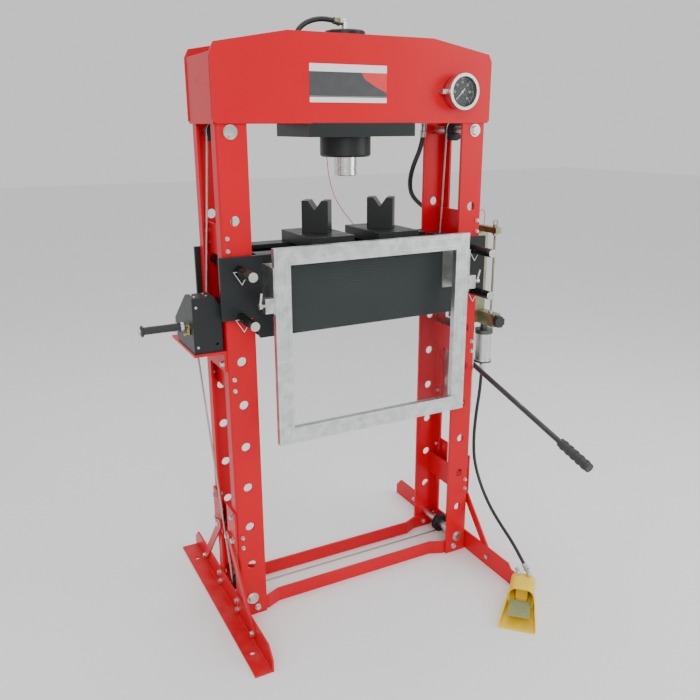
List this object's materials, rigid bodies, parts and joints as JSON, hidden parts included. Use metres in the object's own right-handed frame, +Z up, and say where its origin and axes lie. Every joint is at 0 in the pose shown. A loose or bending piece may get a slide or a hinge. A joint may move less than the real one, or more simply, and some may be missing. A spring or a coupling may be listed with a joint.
{
  "type": "hydraulic shop press",
  "caption": "Floor-standing hydraulic H-frame press with a winch-lifted pinned bed, ram, sliding guard, lever pump and foot pedal.",
  "frame": {"origin": "floor level, centre of the four floor anchor holes", "axes": "+X towards the pump side, +Y to the back, +Z up"},
  "size_m": [1.253, 1.0791, 1.8792],
  "materials": {
    "red_paint": "gloss",
    "black_paint": "gloss",
    "zinc_steel": "satin",
    "steel": "satin",
    "olive_zinc": "satin",
    "aluminium": "satin",
    "clear_plastic": "gloss",
    "printed_plastic": "satin",
    "yellow_plastic": "gloss",
    "black_rubber": "matte",
    "black_plastic": "satin",
    "red_cord": "matte",
    "cable_steel": "satin"
  },
  "bodies": {
    "frame": {"posts_left": "red_paint", "posts_right": "red_paint", "beam_plates": "red_paint", "beam_end_plates": "red_paint", "feet": "red_paint", "struts": "red_paint", "floor_braces": "red_paint", "cross_plates": "red_paint", "frame_bolts": "zinc_steel", "pulley_axles": "zinc_steel", "head_plate": "black_paint", "cylinder_body": "black_paint", "winch_shelf": "red_paint", "winch_housing": "black_paint", "pump_plate": "zinc_steel", "pump_tank": "olive_zinc", "pump_block": "olive_zinc", "air_motor": "aluminium", "gauge_case": "zinc_steel", "gauge_dial": "printed_plastic", "gauge_lens": "clear_plastic", "label_plate": "printed_plastic", "pedal_base": "yellow_plastic", "pedal_cover": "yellow_plastic", "hose_fittings": "zinc_steel", "air_hose": "black_rubber", "ram_hose": "black_rubber", "top_hose": "black_rubber", "tie_string": "red_cord", "tag_string": "red_cord", "lift_cable_left": "cable_steel", "lift_cable_right": "cable_steel"},
    "ram": {"ram": "steel"},
    "bed": {"bed_front_rail": "black_paint", "bed_rear_rail": "black_paint", "bed_spacers": "black_paint", "guard_brackets": "steel"},
    "arbor_left": {"arbor_plate_left": "black_paint"},
    "arbor_right": {"arbor_plate_right": "black_paint"},
    "v_left": {"v_block_left": "black_paint"},
    "v_right": {"v_block_right": "black_paint"},
    "guard": {"guard_frame": "aluminium", "guard_pane": "clear_plastic"},
    "wing_left": {"wing_screw_left": "steel"},
    "wing_right": {"wing_screw_right": "steel"},
    "pin_ul": {"pin_upper_left": "steel"},
    "pin_ll": {"pin_lower_left": "steel"},
    "pin_ur": {"pin_upper_right": "steel"},
    "pin_lr": {"pin_lower_right": "steel"},
    "pulley_tl": {"pulley_top_left": "steel"},
    "pulley_tr": {"pulley_top_right": "steel"},
    "pulley_bl": {"pulley_bottom_left": "steel"},
    "pulley_br": {"pulley_bottom_right": "steel"},
    "winch": {"winch_drum": "steel", "winch_crank": "black_paint"},
    "grip": {"crank_grip": "black_rubber"},
    "handle": {"pump_handle": "black_paint"},
    "knob": {"release_knob": "black_plastic"},
    "pointer": {"gauge_pointer": "aluminium"},
    "treadle": {"pedal_treadle": "olive_zinc"}
  },
  "joints": [
    {"name": "ram_extend", "type": "slide", "parent": "frame", "child": "ram", "axis": [0, 0, -1], "range_m": [0, 0.16]},
    {"name": "bed_lift", "type": "slide", "parent": "frame", "child": "bed", "axis": [0, 0, 1], "range_m": [0, 0.0005]},
    {"name": "arbor_left_slide", "type": "slide", "parent": "bed", "child": "arbor_left", "axis": [1, 0, 0], "range_m": [-0.12, 0.01]},
    {"name": "arbor_right_slide", "type": "slide", "parent": "bed", "child": "arbor_right", "axis": [1, 0, 0], "range_m": [-0.04, 0.1]},
    {"name": "v_left_lift", "type": "slide", "parent": "arbor_left", "child": "v_left", "axis": [0, 0, 1], "range_m": [0, 0.12]},
    {"name": "v_right_lift", "type": "slide", "parent": "arbor_right", "child": "v_right", "axis": [0, 0, 1], "range_m": [0, 0.12]},
    {"name": "guard_slide", "type": "slide", "parent": "bed", "child": "guard", "axis": [0, 0, 1], "range_m": [-0.14, 0.25]},
    {"name": "wing_left_turn", "type": "hinge", "parent": "bed", "child": "wing_left", "pos_m": [-0.3685, -0.205, 1.078], "axis": [-1, 0, 0], "range_deg": [-180, 180]},
    {"name": "wing_right_turn", "type": "hinge", "parent": "bed", "child": "wing_right", "pos_m": [0.3685, -0.205, 1.078], "axis": [1, 0, 0], "range_deg": [-180, 180]},
    {"name": "pin_ul_pull", "type": "slide", "parent": "frame", "child": "pin_ul", "axis": [0, -1, 0], "range_m": [0, 0.35]},
    {"name": "pin_ll_pull", "type": "slide", "parent": "frame", "child": "pin_ll", "axis": [0, -1, 0], "range_m": [0, 0.35]},
    {"name": "pin_ur_pull", "type": "slide", "parent": "frame", "child": "pin_ur", "axis": [0, -1, 0], "range_m": [0, 0.35]},
    {"name": "pin_lr_pull", "type": "slide", "parent": "frame", "child": "pin_lr", "axis": [0, -1, 0], "range_m": [0, 0.35]},
    {"name": "pulley_tl_spin", "type": "hinge", "parent": "frame", "child": "pulley_tl", "pos_m": [-0.414, 0, 1.554], "axis": [0, 1, 0], "continuous": true},
    {"name": "pulley_tr_spin", "type": "hinge", "parent": "frame", "child": "pulley_tr", "pos_m": [0.414, 0, 1.554], "axis": [0, 1, 0], "continuous": true},
    {"name": "pulley_bl_spin", "type": "hinge", "parent": "frame", "child": "pulley_bl", "pos_m": [-0.414, 0, 0.064], "axis": [0, 1, 0], "continuous": true},
    {"name": "pulley_br_spin", "type": "hinge", "parent": "frame", "child": "pulley_br", "pos_m": [0.414, 0, 0.064], "axis": [0, 1, 0], "continuous": true},
    {"name": "winch_spin", "type": "hinge", "parent": "frame", "child": "winch", "pos_m": [-0.506, 0.0285, 0.985], "axis": [1, 0, 0], "continuous": true},
    {"name": "grip_spin", "type": "hinge", "parent": "winch", "child": "grip", "pos_m": [-0.639, -0.0795, 1.015], "axis": [1, 0, 0], "continuous": true},
    {"name": "handle_pump", "type": "hinge", "parent": "frame", "child": "handle", "pos_m": [0.474, -0.02, 0.757], "axis": [-1, 0, 0], "range_deg": [-10, 50]},
    {"name": "knob_turn", "type": "hinge", "parent": "frame", "child": "knob", "pos_m": [0.519, -0.15, 0.91], "axis": [0, 1, 0], "range_deg": [-180, 180]},
    {"name": "pointer_turn", "type": "hinge", "parent": "frame", "child": "pointer", "pos_m": [0.331, -0.15, 1.669], "axis": [0, 1, 0], "range_deg": [0, 270]},
    {"name": "treadle_press", "type": "hinge", "parent": "frame", "child": "treadle", "pos_m": [0.40048, -0.50352, 0.02], "axis": [0.7071, -0.7071, 0], "range_deg": [0, 9], "stiffness_Nm_per_rad": 12, "springref_deg": -14.32}
  ],
  "couplings": [
    {"joint": "pulley_tl_spin", "follows": "winch_spin", "ratio": -0.93},
    {"joint": "pulley_tr_spin", "follows": "winch_spin", "ratio": 0.93},
    {"joint": "pulley_bl_spin", "follows": "winch_spin", "ratio": 0.93},
    {"joint": "pulley_br_spin", "follows": "winch_spin", "ratio": 0.93}
  ]
}
